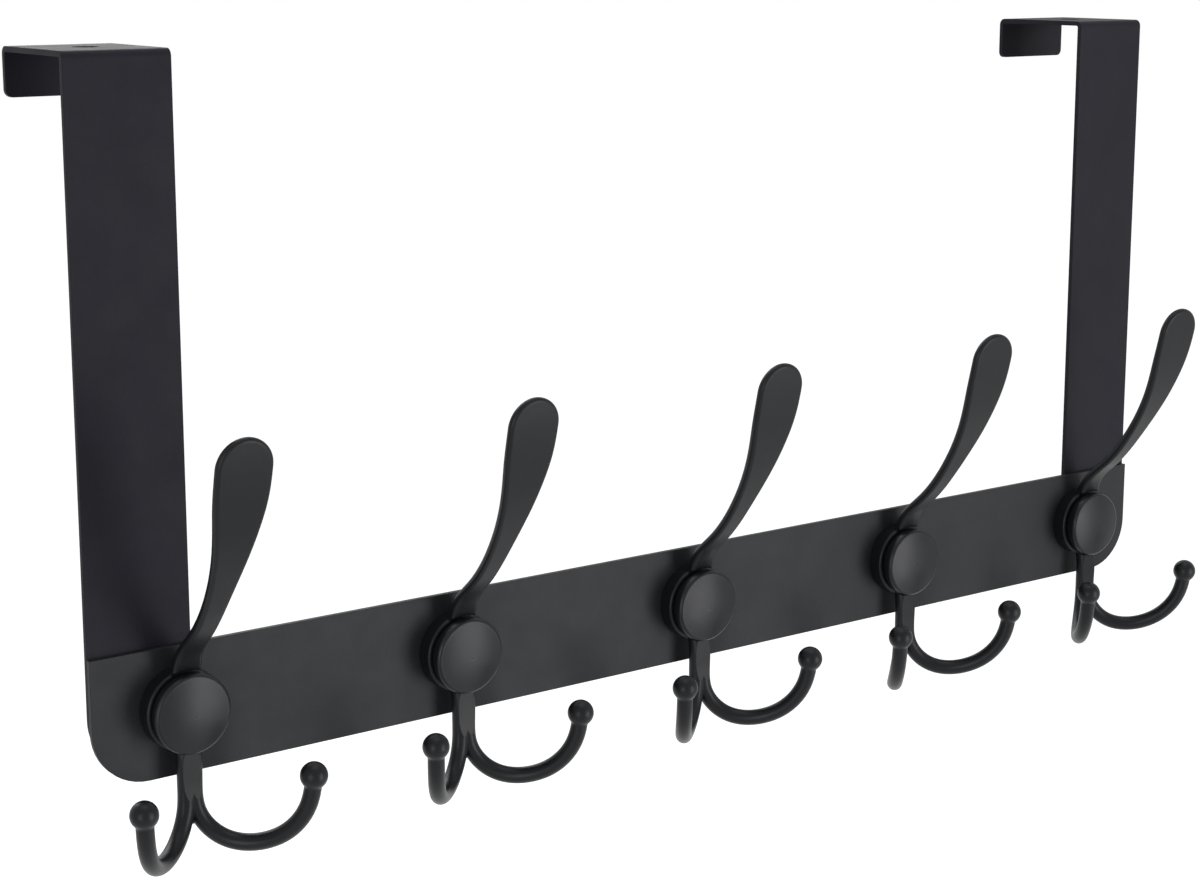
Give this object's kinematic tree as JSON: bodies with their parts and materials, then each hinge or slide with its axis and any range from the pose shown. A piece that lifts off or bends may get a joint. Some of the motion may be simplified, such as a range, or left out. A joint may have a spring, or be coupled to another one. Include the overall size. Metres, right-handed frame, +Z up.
{
  "type": "over door hook",
  "caption": "Black over-door coat rack: a flat rail hung on two bent sheet straps, with round-bossed tri-hooks, each a spoon prong over two ball-tipped prongs.",
  "frame": {"origin": "on the door's top edge: midway between the two strap holes, on the underside of the top plates, in the middle of the door's thickness", "axes": "as it hangs: +Z up, front (rail and hooks) towards -Y, the door's back face towards +Y, the rail along X"},
  "size_m": [0.4068, 0.0837, 0.2142],
  "materials": {
    "rail_paint": "matt black powder coat on sheet steel",
    "strap_paint": "matt black powder coat on sheet steel, faintly blue",
    "hook_paint": "satin black coat on a zinc casting",
    "cap_paint": "satin black coat",
    "rivet_steel": "blackened steel"
  },
  "bodies": {
    "root": {"rail": "rail_paint", "strap_left": "strap_paint", "strap_right": "strap_paint", "hook_1": "hook_paint", "hook_2": "hook_paint", "hook_3": "hook_paint", "hook_4": "hook_paint", "hook_5": "hook_paint", "cap_1": "cap_paint", "cap_2": "cap_paint", "cap_3": "cap_paint", "cap_4": "cap_paint", "cap_5": "cap_paint", "rivet_1_lower": "rivet_steel", "rivet_1_upper": "rivet_steel", "rivet_2_lower": "rivet_steel", "rivet_2_upper": "rivet_steel", "rivet_3_lower": "rivet_steel", "rivet_3_upper": "rivet_steel", "rivet_4_lower": "rivet_steel", "rivet_4_upper": "rivet_steel", "rivet_5_lower": "rivet_steel", "rivet_5_upper": "rivet_steel"}
  },
  "joints": []
}
